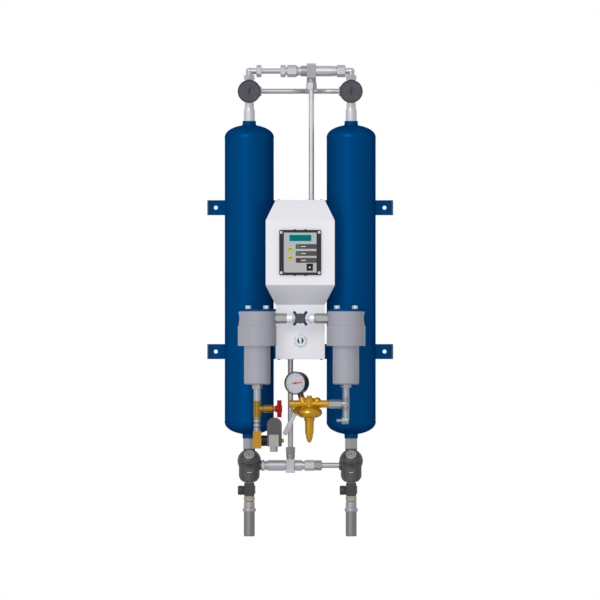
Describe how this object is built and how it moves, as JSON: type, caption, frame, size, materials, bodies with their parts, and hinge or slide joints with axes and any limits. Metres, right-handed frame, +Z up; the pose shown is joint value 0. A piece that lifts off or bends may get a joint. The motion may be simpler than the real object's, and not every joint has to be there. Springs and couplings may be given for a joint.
{
  "type": "desiccant air dryer",
  "caption": "Wall-mounted twin-vessel heatless desiccant air dryer with hooded controller, inlet and outlet filters, gauges, switching valves, silencers, regulator and drains.",
  "frame": {"origin": "centre of the four wall bolts, on the wall plane behind the rails", "axes": "+Z up along the vessels, +Y into the wall along the wall bolts, +X to the right seen from the front"},
  "size_m": [0.4326, 0.21, 1.101],
  "materials": {
    "blue_enamel": "gloss enamel",
    "white_powder_coat": "smooth powder coat",
    "black_moulding": "fine matt texture",
    "grey_panel": "satin lacquer",
    "teal_display": "clear over a teal liquid crystal",
    "lamp_lens": "clear diffusing plastic",
    "yellow_key": "satin",
    "black_rocker": "gloss",
    "board_laminate": "solder mask",
    "zinc_fastener": "zinc plated",
    "nickel_fitting": "satin nickel plate",
    "steel_tube": "drawn stainless",
    "indicator_blue": "clear lens over blue indicator",
    "filter_grey": "satin lacquer on die casting",
    "filter_media": "pleated glass fibre",
    "desiccant": "loose beads",
    "screen_steel": "sintered plate",
    "gauge_black": "satin",
    "dial_face": "printed sheet",
    "gauge_glass": "clear",
    "pointer_black": "matt",
    "pointer_red": "matt",
    "brass": "machined",
    "red_grip": "moulded",
    "blue_grip": "moulded",
    "regulator_zinc": "machined and turned",
    "screw_steel": "turned",
    "valve_black": "moulded nylon",
    "seal_plastic": "turned acetal",
    "coil_black": "moulded resin",
    "plug_black": "moulded",
    "silencer_grey": "sintered and turned"
  },
  "bodies": {
    "dryer": {"bed_screens": "screen_steel", "bleed_tube": "steel_tube", "bottom_manifold": "nickel_fitting", "bypass_valve": "nickel_fitting", "cabinet_box": "white_powder_coat", "cabinet_cover": "white_powder_coat", "check_valves": "nickel_fitting", "circuit_board": "board_laminate", "coil_plugs": "plug_black", "controller_case": "black_moulding", "controller_panel": "grey_panel", "cross_tubes": "steel_tube", "desiccant_beds": "desiccant", "display_window": "teal_display", "drain_pipe": "nickel_fitting", "drain_tee": "brass", "drain_valve": "brass", "filter_bolts": "zinc_fastener", "filter_elements": "filter_media", "gauge_cases": "gauge_black", "gauge_dials": "dial_face", "gauge_lenses": "gauge_glass", "gauge_tees": "nickel_fitting", "inlet_riser": "steel_tube", "left_filter_bowl": "filter_grey", "left_filter_head": "filter_grey", "left_vessel": "blue_enamel", "lower_rail": "blue_enamel", "moisture_indicator": "nickel_fitting", "moisture_window": "indicator_blue", "mufflers": "silencer_grey", "outlet_riser": "steel_tube", "outlet_tee": "nickel_fitting", "panel_screws": "zinc_fastener", "port_fittings": "nickel_fitting", "regulator_body": "regulator_zinc", "regulator_bonnet": "regulator_zinc", "right_filter_bowl": "filter_grey", "right_filter_head": "filter_grey", "right_vessel": "blue_enamel", "solenoid_coils": "coil_black", "status_lights": "lamp_lens", "top_elbows": "nickel_fitting", "tube_nuts": "nickel_fitting", "upper_rail": "blue_enamel", "valve_bodies": "valve_black", "vessel_nipples": "nickel_fitting"},
    "drain_handle": {"drain_handle": "red_grip"},
    "bypass_handle": {"bypass_handle": "blue_grip"},
    "regulator_screw": {"regulator_screw": "screw_steel"},
    "left_gauge_pointer": {"left_gauge_pointer": "pointer_black"},
    "right_gauge_pointer": {"right_gauge_pointer": "pointer_black"},
    "regulator_gauge_pointer": {"regulator_gauge_pointer": "pointer_red"},
    "rocker_switch": {"rocker_switch": "black_rocker"},
    "up_key": {"up_key": "yellow_key"},
    "down_key": {"down_key": "yellow_key"},
    "left_check_poppet": {"left_check_poppet": "seal_plastic"},
    "right_check_poppet": {"right_check_poppet": "seal_plastic"},
    "left_valve_plunger": {"left_valve_plunger": "seal_plastic"},
    "right_valve_plunger": {"right_valve_plunger": "seal_plastic"}
  },
  "joints": [
    {"name": "drain_lever_turn", "type": "hinge", "parent": "dryer", "child": "drain_handle", "pos_m": [-0.0639, -0.165, -0.3007], "axis": [1, 0, 0], "range_deg": [0, 90]},
    {"name": "bypass_turn", "type": "hinge", "parent": "dryer", "child": "bypass_handle", "pos_m": [0, -0.165, -0.0902], "axis": [0, -1, 0], "range_deg": [-90, 0]},
    {"name": "regulator_screw_turn", "type": "hinge", "parent": "dryer", "child": "regulator_screw", "pos_m": [0.0213, -0.165, -0.3605], "axis": [0, 0, 1], "range_deg": [-540, 540]},
    {"name": "left_gauge_turn", "type": "hinge", "parent": "dryer", "child": "left_gauge_pointer", "pos_m": [-0.1186, -0.11245, 0.4383], "axis": [0, -1, 0], "range_deg": [-123, 147]},
    {"name": "right_gauge_turn", "type": "hinge", "parent": "dryer", "child": "right_gauge_pointer", "pos_m": [0.1186, -0.11245, 0.4383], "axis": [0, -1, 0], "range_deg": [-123, 147]},
    {"name": "regulator_gauge_turn", "type": "hinge", "parent": "dryer", "child": "regulator_gauge_pointer", "pos_m": [-0.0124, -0.1735, -0.2408], "axis": [-0.3907, -0.9205, 0], "range_deg": [-32, 238]},
    {"name": "rocker_turn", "type": "hinge", "parent": "dryer", "child": "rocker_switch", "pos_m": [0.0222, -0.1708, 0.0289], "axis": [-1, 0, 0], "range_deg": [0, 20]},
    {"name": "up_key_press", "type": "slide", "parent": "dryer", "child": "up_key", "axis": [0, 1, 0], "range_m": [0, 0.001], "stiffness_N_per_m": 1500},
    {"name": "down_key_press", "type": "slide", "parent": "dryer", "child": "down_key", "axis": [0, 1, 0], "range_m": [0, 0.001], "stiffness_N_per_m": 1500},
    {"name": "left_check_lift", "type": "slide", "parent": "dryer", "child": "left_check_poppet", "axis": [1, 0, 0], "range_m": [0, 0.004], "stiffness_N_per_m": 60},
    {"name": "right_check_lift", "type": "slide", "parent": "dryer", "child": "right_check_poppet", "axis": [-1, 0, 0], "range_m": [0, 0.004], "stiffness_N_per_m": 60},
    {"name": "left_plunger_slide", "type": "slide", "parent": "dryer", "child": "left_valve_plunger", "axis": [0, -0.8192, 0.5736], "range_m": [0, 0.006], "stiffness_N_per_m": 400},
    {"name": "right_plunger_slide", "type": "slide", "parent": "dryer", "child": "right_valve_plunger", "axis": [0, -0.8192, 0.5736], "range_m": [0, 0.006], "stiffness_N_per_m": 400}
  ]
}
